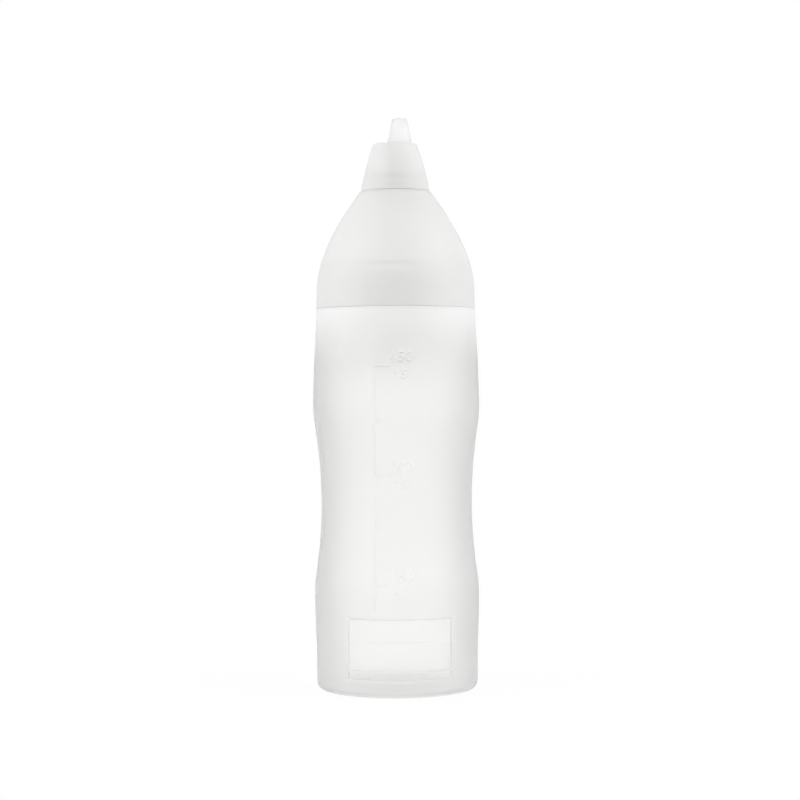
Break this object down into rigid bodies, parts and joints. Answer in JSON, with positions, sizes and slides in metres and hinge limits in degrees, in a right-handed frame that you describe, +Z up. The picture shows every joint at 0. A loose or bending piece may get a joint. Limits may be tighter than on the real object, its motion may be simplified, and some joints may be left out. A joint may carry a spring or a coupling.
{
  "type": "squeeze dispensing bottle",
  "caption": "Waisted squeeze bottle with a moulded volume scale, a domed screw cap, and a twist collar whose off-centre nozzle opens and shuts over a slit valve.",
  "frame": {"origin": "centre of the standing ring under the bottle, on the surface it stands on", "axes": "+Z up through the nozzle, -Y towards the side with the scale and the writing panel, +X to that side's right"},
  "size_m": [0.07, 0.07, 0.24],
  "materials": {
    "body_plastic": "translucent natural polyethylene, satin",
    "seal_rubber": "matte natural silicone",
    "cap_plastic": "milky polypropylene, satin",
    "valve_rubber": "soft natural silicone",
    "retainer_plastic": "natural polypropylene",
    "collar_plastic": "milky polypropylene, satin",
    "nozzle_rubber": "translucent silicone"
  },
  "bodies": {
    "bottle": {"bottle_body": "body_plastic"},
    "gasket": {"neck_gasket": "seal_rubber"},
    "cap": {"dome_cap": "cap_plastic", "drip_valve": "valve_rubber", "valve_retainer": "retainer_plastic"},
    "nozzle": {"twist_collar": "collar_plastic", "nozzle_tip": "nozzle_rubber"}
  },
  "joints": [
    {"name": "cap_lift", "type": "slide", "parent": "bottle", "child": "gasket", "axis": [0, 0, 1], "range_m": [0, 0.0161]},
    {"name": "cap_turn", "type": "hinge", "parent": "gasket", "child": "cap", "pos_m": [0, 0, 0.174], "axis": [0, 0, 1], "range_deg": [0, 720]},
    {"name": "collar_twist", "type": "hinge", "parent": "cap", "child": "nozzle", "pos_m": [0, 0, 0.2096], "axis": [0, 0, 1], "range_deg": [0, 180]}
  ],
  "couplings": [
    {"joint": "cap_lift", "follows": "cap_turn", "m_per_rad": 0.0012732}
  ]
}
